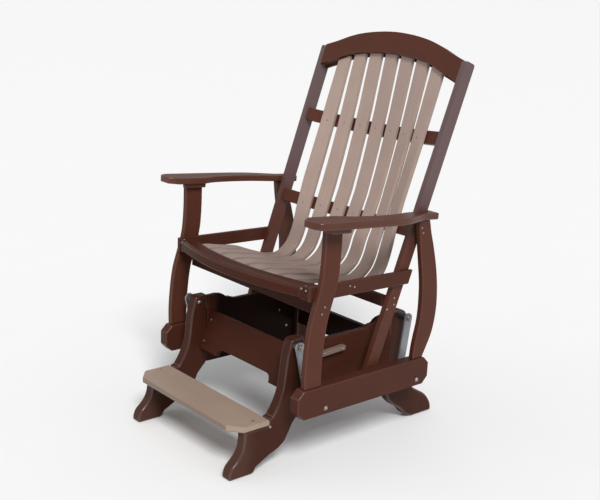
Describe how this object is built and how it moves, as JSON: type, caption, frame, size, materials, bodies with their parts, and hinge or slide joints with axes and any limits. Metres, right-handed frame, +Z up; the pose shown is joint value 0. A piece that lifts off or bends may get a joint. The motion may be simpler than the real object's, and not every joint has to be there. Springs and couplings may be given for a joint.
{
  "type": "balcony glider",
  "caption": "Slatted glider armchair with a bent seat and back, an arched top rail and shaped posts, hung on flat swing arms over a fixed base with a footrest.",
  "frame": {"origin": "on the floor, midway between the front and the rear toes and between the two sides", "axes": "+Z up, -Y the way the sitter faces, +X the sitter's left"},
  "size_m": [0.824, 0.882, 1.2699],
  "materials": {
    "brown_board": "dark brown plastic lumber with a soft sheen",
    "tan_board": "weathered tan plastic lumber with a soft sheen",
    "zinc_steel": "zinc-plated flat bar",
    "bright_steel": "stainless bolts",
    "black_bush": "black moulded plastic"
  },
  "bodies": {
    "base": {"base_leg_front_left": "brown_board", "base_leg_front_right": "brown_board", "base_leg_rear_left": "brown_board", "base_leg_rear_right": "brown_board", "base_side_panel_left": "brown_board", "base_side_panel_right": "brown_board", "base_apron_front": "brown_board", "base_apron_rear": "brown_board", "footrest_board": "tan_board", "stop_strip_left": "tan_board", "stop_strip_right": "tan_board", "front_upper_bolt_left": "bright_steel", "front_upper_bolt_right": "bright_steel", "rear_upper_bolt_left": "bright_steel", "rear_upper_bolt_right": "bright_steel"},
    "front_swing_arms": {"front_arm_left": "zinc_steel", "front_arm_right": "zinc_steel", "front_upper_bush_left": "black_bush", "front_upper_bush_right": "black_bush", "front_lower_bush_left": "black_bush", "front_lower_bush_right": "black_bush"},
    "rear_swing_arms": {"rear_arm_left": "zinc_steel", "rear_arm_right": "zinc_steel", "rear_upper_bush_left": "black_bush", "rear_upper_bush_right": "black_bush", "rear_lower_bush_left": "black_bush", "rear_lower_bush_right": "black_bush"},
    "chair": {"bottom_rail_left": "brown_board", "bottom_rail_right": "brown_board", "front_post_left": "brown_board", "front_post_right": "brown_board", "rear_post_left": "brown_board", "rear_post_right": "brown_board", "back_stile_left": "brown_board", "back_stile_right": "brown_board", "seat_side_rail_left": "brown_board", "seat_side_rail_right": "brown_board", "seat_front_board": "brown_board", "seat_end_block_left": "brown_board", "seat_end_block_right": "brown_board", "seat_front_rail": "brown_board", "seat_rear_rail": "brown_board", "back_rail_lower": "brown_board", "back_rail_upper": "brown_board", "back_top_rail": "brown_board", "slat_1": "tan_board", "slat_2": "tan_board", "slat_3": "tan_board", "slat_4": "tan_board", "slat_5": "tan_board", "slat_6": "tan_board", "slat_7": "tan_board", "armrest_left": "brown_board", "armrest_right": "brown_board", "arm_cleat_left": "brown_board", "arm_cleat_right": "brown_board", "front_lower_bolt_left": "bright_steel", "front_lower_bolt_right": "bright_steel", "rear_lower_bolt_left": "bright_steel", "rear_lower_bolt_right": "bright_steel"}
  },
  "joints": [
    {"name": "front_arm_swing", "type": "hinge", "parent": "base", "child": "front_swing_arms", "pos_m": [0, -0.21, 0.375], "axis": [1, 0, 0], "range_deg": [-12, 12]},
    {"name": "chair_swing", "type": "hinge", "parent": "front_swing_arms", "child": "chair", "pos_m": [0, -0.166, 0.2], "axis": [1, 0, 0], "range_deg": [-14.5, 14.5]},
    {"name": "rear_arm_swing", "type": "hinge", "parent": "base", "child": "rear_swing_arms", "pos_m": [0, 0.249, 0.382], "axis": [1, 0, 0], "range_deg": [-12, 12]}
  ],
  "couplings": [
    {"joint": "chair_swing", "follows": "front_arm_swing", "ratio": -1.1749},
    {"joint": "rear_arm_swing", "follows": "front_arm_swing", "ratio": 0.96782}
  ]
}
